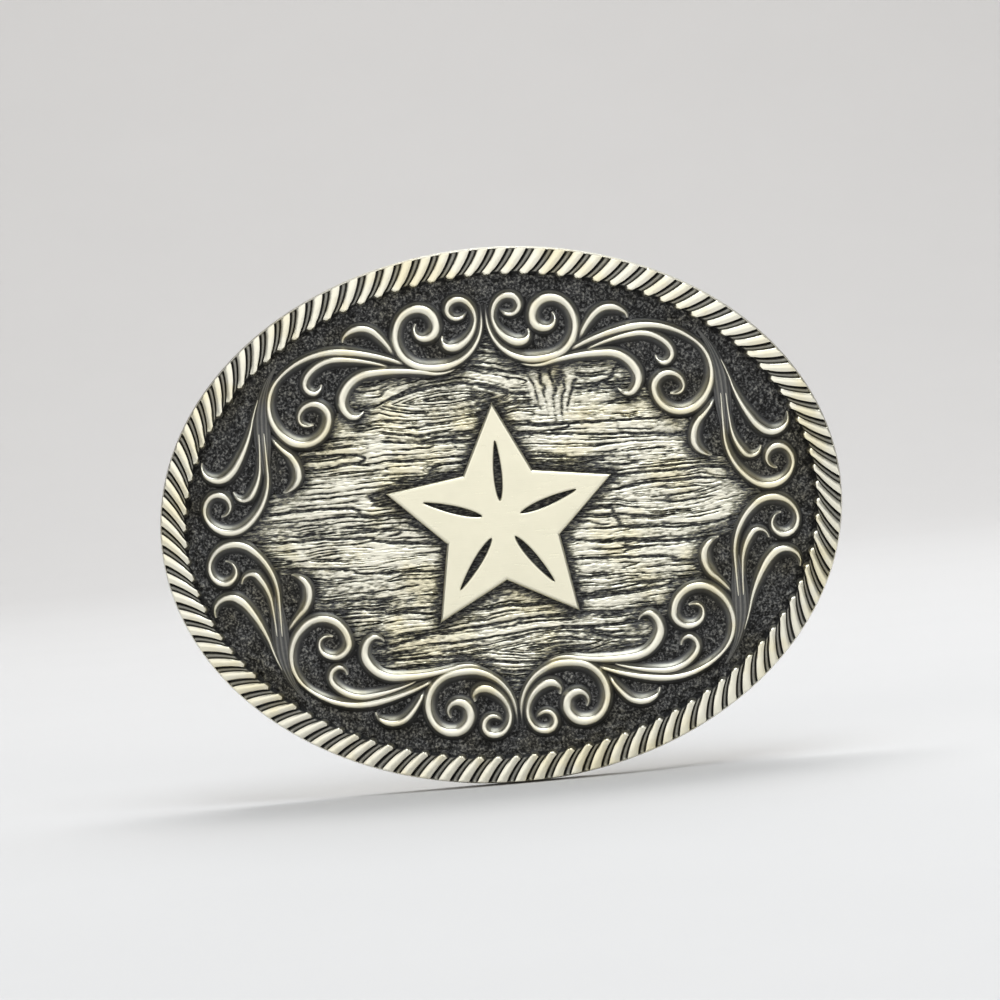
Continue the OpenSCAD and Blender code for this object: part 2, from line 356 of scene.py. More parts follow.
class Finish:
    """A material under construction, with its Principled shader."""

    def __init__(self, name):
        self.material = bpy.data.materials.new(name)
        self.material.use_nodes = True
        self.tree = self.material.node_tree
        self.tree.nodes.clear()
        self.shader = self.tree.nodes.new("ShaderNodeBsdfPrincipled")
        output = self.tree.nodes.new("ShaderNodeOutputMaterial")
        self.tree.links.new(self.shader.outputs[0], output.inputs[0])
        self.place = self.node("ShaderNodeTexCoord", output="Object")

    def node(self, kind, settings=None, inputs=None, output=0):
        """Adds a node: its settings are set first, then its inputs' values or links."""
        made = self.tree.nodes.new(kind)
        for key, value in (settings or {}).items():
            if key == "stops":
                ramp = made.color_ramp.elements
                while len(ramp) < len(value):
                    ramp.new(0.5)
                for stop, (position, colour) in zip(ramp, value):
                    stop.position = position
                    stop.color = (*colour, 1.0)
            else:
                setattr(made, key, value)
        for key, value in (inputs or {}).items():
            self.feed(made.inputs[key], value)
        return Wire(self, made.outputs[output])

    def feed(self, socket, value):
        """Links a wire into a socket, or sets the socket's own value."""
        if isinstance(value, Wire):
            self.tree.links.new(value.socket, socket)
        else:
            socket.default_value = value

    def stretched(self, x, y, z):
        """The object's coordinates scaled separately along each axis."""
        return self.node("ShaderNodeMapping", None, {"Vector": self.place, "Scale": (x, y, z)})

    def clouds(self, size, detail=3.0, roughness=0.55, vector=None):
        """Noise from 0 to 1 with patches of the given size in metres."""
        return self.node("ShaderNodeTexNoise", None, {"Vector": vector or self.place,
            "Scale": 1.0 / size, "Detail": detail, "Roughness": roughness})

    def attribute(self, name):
        """The value of one of the mesh's own attributes."""
        return self.node("ShaderNodeAttribute", {"attribute_name": name}, output="Fac")

    def bump(self, height, strength, distance):
        """Sends a height through a Bump node to the shader's normal."""
        normal = self.node("ShaderNodeBump", None, {"Strength": strength,
            "Distance": distance, "Height": height})
        self.feed(self.shader.inputs["Normal"], normal)

    def set(self, **values):
        """Sets or links the shader's sockets, named with underscores for spaces."""
        for key, value in values.items():
            self.feed(self.shader.inputs[key.replace("_", " ")], value)
        return self.material


def shade(colour, factor):
    """A colour made darker by a factor below 1."""
    return tuple(channel * factor for channel in colour)


def aged_brass(name, colours, spread, rough, grain=0.0004, specks=0.0, bump=0.2,
        stretch=(1.0, 1.0, 1.0), calm=9.0, middle=(0.255, 0.25, 0.222)):
    """Brass darkened in the hollows and rubbed bright on the crests. The mesh's wear, which on
    the leaves and the rope also carries painted highlight and painted shade, moved a little by
    clouds and by bright specks that are painted glints, runs from black through grey patina and
    a middle tone to metal. The painted glint specks fade where the wear passes the calm level,
    and broad clouds warm it."""
    bright, patina = tuple(colours.bright), tuple(colours.patina)
    finish = Finish(name)
    wear = finish.attribute("wear")
    broad = finish.clouds(0.005)
    small = finish.clouds(grain, 4.0, 0.6, finish.stretched(*stretch))
    # The specks are painted glints: bright spots where the fine noise, which also drives the
    # bump, is high
    age_and_painted_glints = wear + (broad - 0.5) * spread + (small - 0.5) * spread + (
        small.between(0.42, 0.66) - 0.4) * (specks - wear.between(calm - 0.1, calm) * specks)
    colour = finish.node("ShaderNodeValToRGB", {"stops": ((0.0, shade(patina, 0.12)),
        (0.14, shade(patina, 0.5)), (0.28, patina), (0.45, middle),
        (0.68, shade(bright, 0.72)), (0.92, bright))}, {"Fac": age_and_painted_glints})
    warm = finish.clouds(0.007, 3.0, 0.6).between(0.44, 0.66) * (
        1 - wear.between(calm - 0.1, calm) * 0.6)
    colour = finish.node("ShaderNodeMix", {"data_type": "RGBA", "blend_type": "MULTIPLY"},
        {"Factor": warm, "A": colour, "B": (0.97, 0.93, 0.80, 1.0)}, output=2)
    rubbed = age_and_painted_glints.between(0.3, 0.8)
    finish.bump(small, bump, 0.0001)
    return finish.set(Base_Color=colour, Metallic=0.8 + rubbed * 0.2,
        Roughness=0.5 - rubbed * (0.5 - rough) + (broad - 0.5) * 0.1)


# ---------------------------------------------------------------- settings

class BuckleSizes(bpy.types.PropertyGroup):
    """Sizes of the relief, in millimetres."""
    rope_height: bpy.props.FloatProperty(name="Rope height", default=1.65, min=0.5, max=3.0,
        description="Height of the rope's strands above the plate, in millimetres")
    strands: bpy.props.IntProperty(name="Strands", default=100, min=20, max=200,
        description="Number of slanting strands round the rope border")
    scroll_height: bpy.props.FloatProperty(name="Scroll height", default=0.98, min=0.2, max=2.0,
        description="Height of the broadest scrolls above the plate, in millimetres")
    scroll_skirt: bpy.props.FloatProperty(name="Scroll skirt", default=0.72, min=0.1, max=0.9,
        description="Width of the hollow slope beside a scroll's crest, in millimetres")
    grain_depth: bpy.props.FloatProperty(name="Grain depth", default=0.3, min=0.0, max=0.6,
        description="Depth of the deepest lines of the wood grain, in millimetres")
    stipple_depth: bpy.props.FloatProperty(name="Stipple depth", default=0.26, min=0.0, max=0.4,
        description="Depth of the pebbled ground round the scrolls, in millimetres")
    star_radius: bpy.props.FloatProperty(name="Star radius", default=15.5, min=8.0, max=18.0,
        description="Radius of the star's points, in millimetres")
    star_height: bpy.props.FloatProperty(name="Star height", default=1.28, min=0.5, max=2.0,
        description="Height of the star's flat top above the plate, in millimetres")


class BuckleColours(bpy.types.PropertyGroup):
    """Colours of the finishes."""
    bright: bpy.props.FloatVectorProperty(name="Bright brass", subtype="COLOR", size=3,
        default=(0.85, 0.82, 0.69), min=0.0, max=1.0,
        description="Colour of the rubbed crests of rope and scrolls")
    polished: bpy.props.FloatVectorProperty(name="Polished brass", subtype="COLOR", size=3,
        default=(0.82, 0.785, 0.62), min=0.0, max=1.0,
        description="Colour of the star's flat top")
    patina: bpy.props.FloatVectorProperty(name="Patina", subtype="COLOR", size=3,
        default=(0.10, 0.10, 0.099), min=0.0, max=1.0,
        description="Colour of the darkened ground and hollows")
    fittings: bpy.props.FloatVectorProperty(name="Fittings", subtype="COLOR", size=3,
        default=(0.62, 0.52, 0.30), min=0.0, max=1.0,
        description="Colour of the loop, hinge and hook behind the plate")
    floor: bpy.props.FloatVectorProperty(name="Floor", subtype="COLOR", size=3,
        default=(0.58, 0.565, 0.55), min=0.0, max=1.0,
        description="Colour of the plain studio floor and backdrop")


class BuckleStage(bpy.types.PropertyGroup):
    """The camera and its framing."""
    distance: bpy.props.FloatProperty(name="Camera distance", default=0.543, unit="LENGTH",
        description="Distance from the camera to the plate's front")
    lens: bpy.props.FloatProperty(name="Lens", default=150.0, unit="CAMERA",
        description="Focal length of the camera on a 36 mm frame")
    roll: bpy.props.FloatProperty(name="Roll", default=math.radians(5.1), subtype="ANGLE",
        description="How far the camera leans, which shows the buckle turned anticlockwise")
    elevation: bpy.props.FloatProperty(name="Elevation", default=math.radians(1.5),
        subtype="ANGLE", description="Height of the camera above the buckle's level")


# ---------------------------------------------------------------- operators

def plate_shell(sizes):
    """The oval plate as rings round its middle, from the front over the rim's half circle to
    the back. The ground between the scrolls is pebbled by three sizes of noise, which fade
    where a scroll's edge comes near."""
    around = np.linspace(0, 2 * math.pi, 1020, endpoint=False)
    # Rings: share of the oval's radii and depth below the front
    bare, fine = np.array([0.02, 0.25, 0.45]), np.linspace(0.555, 0.928, 78)
    ground = slice(len(bare), len(bare) + len(fine))
    rim = [0.96, 0.985]
    turn = np.linspace(0, math.pi, 7)
    back = np.linspace(0.97, 0.02, 7)
    share = np.concatenate([bare, fine, rim, 1 - 0.006 * (1 - np.sin(turn)), back])
    front_rings = len(bare) + len(fine) + len(rim)
    depth = np.concatenate([np.zeros(front_rings),
        PLATE_THICKNESS * (1 - np.cos(turn)) / 2, np.full(len(back), PLATE_THICKNESS)])
    x = share[:, None] * HALF_WIDTH * np.cos(around)
    z = share[:, None] * HALF_HEIGHT * np.sin(around)
    gap = scroll_distance(x[ground], z[ground])
    pebbles = (0.55 * noise(x[ground] * 1.5, z[ground] * 1.7, 3)
        + 0.45 * noise(x[ground] * 2.7 + 7, z[ground] * 2.9, 4)
        + 0.2 * noise(x[ground] * 0.5, z[ground] * 0.5, 5))
    rough = smooth(0.3, 1.0, gap)
    height = np.repeat(-depth[:, None], len(around), axis=1)
    height[ground] += sizes.stipple_depth * rough * (pebbles - 0.3)
    wear = np.full(height.shape, 0.2)
    wear[ground] = 0.10 + 0.06 * rough + rough * 0.14 * pebbles
    wear[front_rings:] = 0.62
    return tube(on_front(x, z, height), wear)


class BUCKLE_OT_plate(bpy.types.Operator):
    """Builds the bent oval plate with its pebbled ground"""
    bl_idname = "buckle.plate"
    bl_label = "Plate"

    def execute(self, context):
        sizes, colours = context.scene.buckle_sizes, context.scene.buckle_colours
        material = aged_brass("dark_pebbled_ground", colours, 0.10, 0.42,
            grain=0.00032, specks=0.34, bump=1.0, calm=0.6)
        make_piece("plate_ground", [plate_shell(sizes)], material, "buckle", "base_plate",
            smooth_angle=50)
        return {"FINISHED"}


class BUCKLE_OT_grain(bpy.types.Operator):
    """Builds the wood-grain middle of the plate as an upper and a lower half"""
    bl_idname = "buckle.grain"
    bl_label = "Wood grain"

    def execute(self, context):
        sizes, colours = context.scene.buckle_sizes, context.scene.buckle_colours
        material = aged_brass("wood_grain_brass", colours, 0.18, 0.32, grain=0.00018,
            specks=0.34, bump=0.6, stretch=(0.25, 0.25, 1.0), middle=(0.26, 0.25, 0.183))
        for name, low, high in (("upper", 0.0, PANEL_TOP), ("lower", -PANEL_TOP, 0.0)):
            make_piece(f"grain_panel_{name}", [grain_shell(sizes, low, high)], material,
                "buckle", None, smooth_angle=60)
        return {"FINISHED"}


def crease(field, step, width):
    """1 along the lines where a field crosses zero, falling off as exp(-(d / width)^2),
    where the distance d is the field over its slope across the rows. A small addition to
    the width keeps a flat field from dividing by zero."""
    slope = np.abs(np.gradient(field, axis=0)) / step
    return np.exp(-(field / (width * slope + 0.006)) ** 2)


def wood_grain(x, z, gap, star):
    """Height from 0 to 1 and wear of carved wood grain. Long thin creases lie where noise
    stretched along x crosses zero. Round a knot the lines part by half its height times
    1 - (x / reach)^2, fading with distance, and they close inside it."""
    step = abs(z[1, 0] - z[0, 0])
    line = z + 0.9 * noise(x * 0.045, z * 0.07, 11) + 0.19 * noise(x * 0.30, z * 0.6, 12)
    line = line + 0.08 * noise(x * 0.9, z * 1.3, 13)
    line = line + 0.05 * (x + 12) * smooth(2, 9, z) * smooth(-12, 8, x)
    for knot_x, knot_z, reach, half in KNOTS:
        beside = line - knot_z
        bulge = half * np.clip(1 - ((x - knot_x) / reach) ** 2, 0, 1)
        outside = np.abs(beside) - bulge * np.exp(-np.abs(beside) / (2.2 * half))
        way = np.where(outside > 0, np.sign(beside), 1.0)
        line = knot_z + way * outside
    wide = noise(x * 0.030, line * 0.55, 21)
    close = noise(x * 0.05 + 3, line * 1.05, 22)
    hair = noise(x * 0.09, line * 2.0 + 5, 23)
    fine = noise(x * 0.16, line * 3.4 + 9, 24)
    fibre = noise(x * 0.8, line * 6.0, 25)
    fleck = noise(x * 2.1, z * 4.6, 26)
    groups = smooth(-0.35, 0.3, noise(x * 0.06, line * 0.4, 27))
    breaks = 0.35 + 0.65 * smooth(-0.4, 0.2, noise(x * 0.3, line * 2.3, 28))
    creases = 0.95 * crease(wide, step, 0.17)
    creases = np.maximum(creases, 0.85 * breaks * crease(close, step, 0.13))
    creases = np.maximum(creases, 0.75 * breaks * crease(hair, step, 0.10))
    creases = np.maximum(creases, 0.60 * groups * breaks * crease(fine, step, 0.085))
    level = 0.72 + 0.20 * wide + 0.10 * close + 0.10 * hair + 0.14 * fibre + 0.22 * fleck
    level = level - creases
    # The round knot above the star stands on end: wavy upright ribs round a dark eye
    knot_x, knot_z = x - 8.2, z - 15.8
    knot = np.hypot(knot_x / 4.2, knot_z / 3.9) + 0.18 * noise(x * 0.7, z * 0.7, 14)
    ribs = (knot_x + 0.45 * noise(x * 0.45, z * 0.7, 15) + 0.16 * noise(x * 1.4, z * 1.8, 16)
        - 0.12 * knot_x * knot_z)
    upright = 0.80 + 0.22 * fleck - 0.95 * np.exp(-(np.sin(ribs * 2.5) / 0.42) ** 2) * (
        0.55 + 0.45 * smooth(-0.4, 0.3, noise(x * 0.6, z * 0.5, 17)))
    upright = upright - 0.7 * np.exp(-((x - 8.9) / 0.55) ** 2 - ((z - 17.0) / 1.0) ** 2)
    inside = 1 - smooth(0.62, 1.0, knot)
    level = np.clip(level * (1 - inside) + inside * upright, 0, 1)
    quiet = smooth(0.1, 1.0, star) * smooth(-0.3, 0.7, gap)
    height = quiet * level + (1 - quiet) * 0.12
    patches = 0.5 + 0.5 * noise(x * 0.075, z * 0.2, 41) + 0.3 * noise(x * 0.2, line * 0.7, 42)
    lit = smooth(0.0, 2.2, star) * smooth(0.0, 2.4, gap) * (1 - 0.75 * smooth(28, 34, np.abs(x)))
    rubbed = 0.50 + 0.30 * np.clip(patches, 0, 1)
    wear = 0.15 + quiet * (0.10 + 0.16 * lit) * level + quiet * lit * rubbed * smooth(
        0.10, 0.92, level)
    return height, wear


def grain_shell(sizes, low, high):
    """One half of the wood: rows run from edge to edge of the panel at one height, and sink
    towards the edges. The underside follows the bend inside the plate."""
    edge_z, edge_x = np.array(PANEL_EDGE[::-1]).T
    underside = -0.6
    z = np.linspace(low, high, 400)
    half = np.interp(np.abs(z), edge_z, edge_x)[:, None]
    across = np.linspace(-1, 1, 222)
    x = half * across
    z = np.repeat(z[:, None], len(across), axis=1)
    gap = scroll_distance(x, z)
    star = star_distance(x, z, sizes.star_radius)
    height, wear = wood_grain(x, z, gap, star)
    rim = smooth(0.0, 0.5, half * (1 - np.abs(across)))
    height = (0.04 + sizes.grain_depth * height) * rim - 0.12 * (1 - rim)
    under = half * np.linspace(0.96, -0.96, 25)
    all_x = np.concatenate([x, under], axis=1)
    all_z = np.concatenate([z, z[:, :under.shape[1]]], axis=1)
    all_height = np.concatenate([height, np.full(under.shape, underside)], axis=1)
    all_wear = np.concatenate([wear, np.zeros(under.shape)], axis=1)
    return tube(on_front(all_x, all_z, all_height), all_wear)


def rope_shell(sizes):
    """The rope as a ring of slanting columns. Over one pitch the height is a strand's crown,
    1 - 0.08 s^2 from its middle to its sides, and then a groove with steep walls and a low
    ridge, 1 - |d|^3, along its floor. The grooves end before the inner and the outer edge."""
    rim, width = 0.16, 3.74
    fine = np.linspace(0, 2 * math.pi, 7201)
    middle_x, middle_z = HALF_WIDTH - rim - width / 2, HALF_HEIGHT - rim - width / 2
    steps = np.hypot(np.diff(middle_x * np.cos(fine)), np.diff(middle_z * np.sin(fine)))
    run = np.concatenate([[0], np.cumsum(steps)])
    run = run / run[-1] * sizes.strands
    across = np.array([0.0, 0.012, 0.03, 0.055, 0.09, 0.13, 0.18, 0.24, 0.3, 0.37, 0.44,
        0.51, 0.58, 0.65, 0.72, 0.78, 0.84, 0.89, 0.93, 0.955, 0.97, 0.985, 1.0])[:, None]
    # Columns follow the strands, which sweep clockwise on their way out and lean most
    # below the right end and above the left end
    strand_columns = 28
    turns = np.arange(sizes.strands * strand_columns) / strand_columns
    phase = -turns % 1.0
    angle = np.interp(turns, run, fine)
    lean = 1.2 + 0.42 * np.cos(2 * angle + 1.0)
    shifted = turns + 0.05 * noise(turns * 0.9, turns * 0, 51) + lean * (1 - across) ** 1.25
    around = np.interp(shifted % sizes.strands, run, fine)
    # The strand takes this share of its pitch, and the groove beside it the rest
    strand = 0.52
    lap = (phase - strand) / (1 - strand)
    groove = smooth(0.0, 0.13, lap) * (1 - smooth(0.87, 1.0, lap))
    ridge = np.clip(1 - np.abs((lap - 0.5 - 0.08 * np.cos(angle - 0.7)) / 0.36) ** 3, 0, 1)
    lip = 1 - smooth(0.92, 0.975, across)
    side = np.abs(2 * phase / strand - 1)
    crown = 1 - 0.08 * side ** 2 * (phase < strand)
    arch = (smooth(-0.02, 0.075, across) * (1 - 0.03 * smooth(0.6, 0.95, across))
        * (1 - 0.6 * smooth(0.95, 1.0, across)))
    groove_depth = 0.85 * (1 - 0.5 * ridge)
    height = sizes.rope_height * arch * crown - groove_depth * groove * (
        lip * smooth(0.0, 0.10, across))
    height = np.maximum(height, 0.02)
    toe = np.where(phase < strand, side ** 3, 1.0)
    inset = rim + width * (1 - across) - 0.5 * toe * (1 - across) ** 4
    x = (HALF_WIDTH - inset) * np.cos(around)
    z = (HALF_HEIGHT - inset) * np.sin(around)
    # The low ridge along each groove's floor is painted lighter as a painted sheen, over the
    # real dark patina of the groove
    hollow = 0.11 + 0.35 * ridge
    wear = (1 - groove * lip) * 0.97 + groove * lip * hollow
    wear = wear * smooth(-0.035, 0.05, across) * (1 - 0.35 * smooth(0.97, 1.0, across))
    foot = np.array([rim + 0.05, rim + width - 0.05])[:, None]
    ends = np.stack([around[-1], around[0]])
    x = np.concatenate([x, (HALF_WIDTH - foot) * np.cos(ends)])
    z = np.concatenate([z, (HALF_HEIGHT - foot) * np.sin(ends)])
    height = np.concatenate([height, np.full(ends.shape, FOOT)])
    wear = np.concatenate([wear, np.zeros(ends.shape)])
    return hoop(on_front(x, z, height).transpose(1, 0, 2), wear.T)


class BUCKLE_OT_rope(bpy.types.Operator):
    """Builds the twisted rope border"""
    bl_idname = "buckle.rope"
    bl_label = "Rope border"

    def execute(self, context):
        sizes, colours = context.scene.buckle_sizes, context.scene.buckle_colours
        material = aged_brass("rope_brass", colours, 0.10, 0.30)
        make_piece("rope_strands", [rope_shell(sizes)], material, "buckle", "rope_border",
            smooth_angle=55)
        return {"FINISHED"}


def strip_shell(path, across, height, wear):
    """A closed strip: each section's points lie square to the path, across it to the right,
    and its two edges drop straight into the plate."""
    feet = np.ones((len(path), 2))
    across = np.concatenate([across, across[:, -1:], across[:, :1]], axis=1)
    height = np.concatenate([height, feet * FOOT], axis=1)
    wear = np.concatenate([wear, feet * 0.15], axis=1)
    x = path[:, 0:1] + across * np.sin(path[:, 2:3])
    z = path[:, 1:2] - across * np.cos(path[:, 2:3])
    return tube(on_front(x, z, height), wear)


def leaf_shell(shape, sizes, level):
    """A leaf as a closed strip: at each point of its path the section runs from skirt to
    crest to skirt. The crest is 0.7 + 0.3 sqrt(1 - c^2) high and highest towards the
    outside of the curve. The skirts fall as (1 - s)^1.5, and reach furthest on the inside.
    A leaf that starts as a hair line rises slowly out of the ground. Sides that face up get a
    painted highlight and sides that face down a painted shade, on the crest and on the flanks,
    in both halves of the plate."""
    path = follow(shape)
    half, bend = path[:, 3:4] * 0.45, path[:, 4:5]
    spread = sizes.scroll_skirt * np.clip(0.35 + half * 1.7, 0.4, 1.0)
    crest = np.sin(np.linspace(-math.pi / 2, math.pi / 2, 11))
    slope = np.array([0.04, 0.12, 0.24, 0.38, 0.55, 0.75, 1.0])
    top = 0.70 + 0.30 * np.sqrt(1 - crest ** 2) + 0.04 * crest * bend
    left_skirt, right_skirt = spread * (1 + 0.15 * bend), spread * (1 - 0.15 * bend)
    fall = (1 - slope) ** 1.5
    left = top[:, :1] * fall[::-1]
    right = top[:, -1:] * fall
    across = np.concatenate([-(half + left_skirt * slope[::-1]), half * crest,
        half + right_skirt * slope], axis=1)
    lift = np.concatenate([left, top, right], axis=1)
    run = np.concatenate([[0], np.cumsum(np.hypot(*np.diff(path[:, :2], axis=0).T))])[:, None]
    rise = 3.2 if shape[3] < HAIR_LINE else 1.2
    taper = 0.25 + 0.75 * smooth(0, rise, run) * smooth(0, 1.2, run[-1] - run)
    height = lift * sizes.scroll_height * (0.5 + 0.5 * smooth(0.05, 0.42, half)) * taper
    # Painted light from above: crests and flanks that face up are painted lighter and those that
    # face down darker, on top of the real rubbing of the crests
    painted_light_from_above = -level * np.cos(path[:, 2:3])
    crest_wear_and_painted_light = 0.60 + 0.38 * np.sqrt(1 - crest ** 2) + 0.08 * crest * painted_light_from_above
    skirt_wear = 0.44 + 0.16 * (1 - smooth(0.0, 0.25, slope)) - 0.34 * smooth(0.25, 0.9, slope)
    # near is a painted highlight on the flank that faces up and a painted shade on the flank
    # that faces down
    near = 0.2 * painted_light_from_above * (1 - slope ** 2)
    wear = np.concatenate([skirt_wear[::-1] - near[:, ::-1], crest_wear_and_painted_light, skirt_wear + near],
        axis=1) * (0.7 + 0.3 * taper) * (0.3 + 0.7 * smooth(0, rise, run))
    return strip_shell(path, across, height - 0.04, wear)


def stem_shell(sizes):
    """The fluted stem behind the side leaves: a low strip whose section is a shallow arch
    (1 - c^2)^0.3 less four cosine flutes, and which sinks into the ground at both ends."""
    path = follow(SIDE_STEM)
    half = path[:, 3:4] / 2
    across = np.linspace(-1, 1, 41)
    flutes = 0.5 - 0.5 * np.cos(4 * math.pi * (across + 1))
    arch = 1 - across ** 2
    run = np.linspace(0, 1, len(path))[:, None]
    ends = smooth(0, 0.25, run) * smooth(0, 0.25, 1 - run)
    height = sizes.scroll_height * (0.52 * arch ** 0.3 - 0.09 * flutes) * ends - 0.03
    wear = (0.24 + 0.13 * (1 - flutes) * arch ** 0.5) * np.ones_like(half)
    return strip_shell(path, half * across, height, wear)


class BUCKLE_OT_scrolls(bpy.types.Operator):
    """Builds the twelve scroll overlays"""
    bl_idname = "buckle.scrolls"
    bl_label = "Scrolls"

    def execute(self, context):
        sizes, colours = context.scene.buckle_sizes, context.scene.buckle_colours
        material = aged_brass("scroll_brass", colours, 0.10, 0.30)
        groups = {"small_scroll": (SMALL_SCROLL,),
            "spray": (LARGE_SCROLL, LOW_LEAF, MIDDLE_LEAF, LONG_SCROLL, TOP_LEAF),
            "side_leaves": (OUTER_LEAF, SHORT_LEAF, SIDE_SCROLL, INNER_LEAF)}
        quarters = {"upper_right": (1, 1), "upper_left": (-1, 1),
            "lower_right": (1, -1), "lower_left": (-1, -1)}
        for group, shapes in groups.items():
            for quarter, (side, level) in quarters.items():
                shells = [leaf_shell(shape, sizes, level) for shape in shapes]
                if group == "side_leaves":
                    shells.append(stem_shell(sizes))
                make_piece(f"{group}_{quarter}_relief",
                    [mirrored(shell, side, level) for shell in shells], material,
                    "buckle", f"{group}_{quarter}", smooth_angle=60)
        return {"FINISHED"}


class BUCKLE_OT_star(bpy.types.Operator):
    """Builds the polished star with a tapered slot along each arm"""
    bl_idname = "buckle.star"
    bl_label = "Star"

    def execute(self, context):
        sizes, colours = context.scene.buckle_sizes, context.scene.buckle_colours
        shells = [half_arm(sizes, arm, side) for arm in range(5) for side in (1, -1)]
        finish = Finish("polished_star")
        wear = finish.attribute("wear")
        broad = finish.clouds(0.004, 2.0)
        small = finish.clouds(0.0005, 5.0, 0.65)
        strokes = finish.clouds(0.001, 4.0, 0.6, finish.stretched(0.25, 1.0, 5.0))
        rubbed = (wear + (small - 0.5) * 0.2).between(0.1, 0.8)
        colour = finish.node("ShaderNodeValToRGB", {"stops": ((0.0, shade(colours.patina, 0.3)),
            (0.45, shade(colours.polished, 0.35)), (0.8, shade(colours.polished, 0.9)),
            (1.0, tuple(colours.polished)))}, {"Fac": rubbed - (broad - 0.5) * 0.25})
        finish.bump(strokes * 0.5 + broad * 0.8, 0.12, 0.0002)
        material = finish.set(Base_Color=colour, Metallic=0.6 + rubbed * 0.4,
            Roughness=0.5 - rubbed * 0.2 + (strokes - 0.5) * 0.16)
        make_piece("star_plate", shells, material, "buckle", "star_emblem",
            smooth_angle=35)
        return {"FINISHED"}


def half_arm(sizes, arm, side):
    """One half of an arm: rows run from the arm's axis (or its slot's edge) to the next arm,
    or past the kink in the rows to the outline, and the top's edges are rounded by quarter
    circles. The slot's half width is 1.62 (p (1 - p))^0.8 (1.15 - p / 2) for a share p of
    its length."""
    radius = sizes.star_radius
    slot_start, slot_end = 2.6, 10.6
    along = np.concatenate([np.linspace(0, 2.4, 6), np.linspace(slot_start, slot_end, 60),
        np.linspace(10.9, radius - 0.05, 24)])[:, None]
    part = np.clip((along - slot_start) / (slot_end - slot_start), 0, 1)
    slot = 1.62 * (part * (1 - part)) ** 0.8 * (1.15 - 0.5 * part)
    corner = star_corner(radius)
    reach = along / radius
    kink = 0.46
    inner = np.clip(reach / kink, 0, 1)
    outer = np.clip((reach - kink) / (1 - kink), 0, 1)
    far_u = corner[0] * inner + (radius - corner[0]) * outer
    far_v = corner[1] * inner - corner[1] * outer
    across = (1 - np.cos(np.linspace(0, math.pi, 27))) / 2
    u = along + (far_u - along) * across
    v = slot + (far_v - slot) * across
    edge_u, edge_v = radius - corner[0], -corner[1]
    length = math.hypot(edge_u, edge_v)
    outside = np.abs((u - corner[0]) * edge_v - (v - corner[1]) * edge_u) / length
    slot_here = np.interp(u, along[:, 0], slot[:, 0])
    beside_slot = (u > slot_start - 0.1) & (u < slot_end)
    inside = np.where(beside_slot, v - slot_here + 0.6 * (slot_here < 0.05), 9.0)
    edge_radius, slot_radius = 0.42, 0.22
    drop_out, drop_in = rounding(outside, edge_radius), rounding(inside, slot_radius)
    height = sizes.star_height - drop_out - drop_in
    wear = 1.0 - 0.5 * drop_out / edge_radius - 0.6 * drop_in / slot_radius
    foot = np.full((len(along), 1), -0.1)
    u = np.concatenate([u, u[:, -1:], u[:, :1]], axis=1)
    v = np.concatenate([v, v[:, -1:], v[:, :1]], axis=1)
    height = np.concatenate([height, foot, foot], axis=1)
    wear = np.concatenate([wear, foot * 0, foot * 0], axis=1)
    turn = arm * 2 * math.pi / 5
    x = u * math.sin(turn) + side * v * math.cos(turn)
    z = u * math.cos(turn) - side * v * math.sin(turn) - STAR_DROP
    shell = tube(on_front(x, z, height), wear)
    if side > 0:
        shell = (shell[0], [block[:, ::-1] for block in shell[1]], shell[2])
    return shell


def rounding(gap, radius):
    """Drop of a rounded edge at a distance from it: radius - sqrt(radius^2 - (radius -
    gap)^2), and 0 past the radius."""
    return radius - np.sqrt(radius ** 2 - np.clip(radius - gap, 0, radius) ** 2)


def fitting_brass(name, colour, rough, scratch):
    """Satin brass with tarnish clouds and fine drawn lines along z."""
    finish = Finish(name)
    wear = finish.attribute("wear")
    broad = finish.clouds(0.005, 4.0)
    small = finish.clouds(0.0006, 5.0, 0.6)
    lines = finish.clouds(0.0006, 3.0, 0.6, finish.stretched(3.0, 3.0, scratch))
    clean = (wear + (broad - 0.5) * 0.5 + (small - 0.5) * 0.25).between(0.15, 0.95)
    tint = finish.node("ShaderNodeValToRGB", {"stops": ((0.0, shade(colour, 0.18)),
        (0.4, shade(colour, 0.55)), (0.75, shade(colour, 0.9)), (1.0, colour))}, {"Fac": clean})
    finish.bump(lines * 0.6 + small * 0.4, 0.15, 0.0001)
    return finish.set(Base_Color=tint, Metallic=0.75 + clean * 0.25,
        Roughness=rough + 0.16 - clean * 0.16 + (lines - 0.5) * 0.15)


def rounded_box(turn, half_x, half_z, low, high, radius, wear, count=7):
    """A box with rounded edges: rows of rounded rectangles in x and z, drawn in towards
    the top by the same quarter circle."""
    quarter = np.linspace(0, math.pi / 2, count)
    corner_x = np.concatenate([np.cos(quarter + k * math.pi / 2) for k in range(4)])
    corner_z = np.concatenate([np.sin(quarter + k * math.pi / 2) for k in range(4)])
    side_x = np.repeat([1, -1, -1, 1], count)
    side_z = np.repeat([1, 1, -1, -1], count)
    shrink = np.concatenate([[0, 0], radius * (1 - np.cos(quarter[1:]))])
    level = np.concatenate([[low, high - radius], high - radius + radius * np.sin(quarter[1:])])
    reach = np.maximum(radius - shrink, 0.02)[:, None]
    x = side_x * (half_x - radius) + reach * corner_x
    z = side_z * (half_z - radius) + reach * corner_z
    y = np.repeat(level[:, None], len(side_x), axis=1)
    return tube(on_back(turn, x, y, z), np.full(x.shape, wear))


def conform(shell, sink):
    """Moves points that lie inside the plate's back onto it, sunk by a small amount."""
    points, faces, wear = shell
    x, y = points[:, 0] / MM, points[:, 1] / MM
    skin = BEND_Y - np.sqrt(BACK ** 2 - x ** 2) - sink
    points = points.copy()
    points[:, 1] = np.maximum(y, skin) * MM
    return points, faces, wear


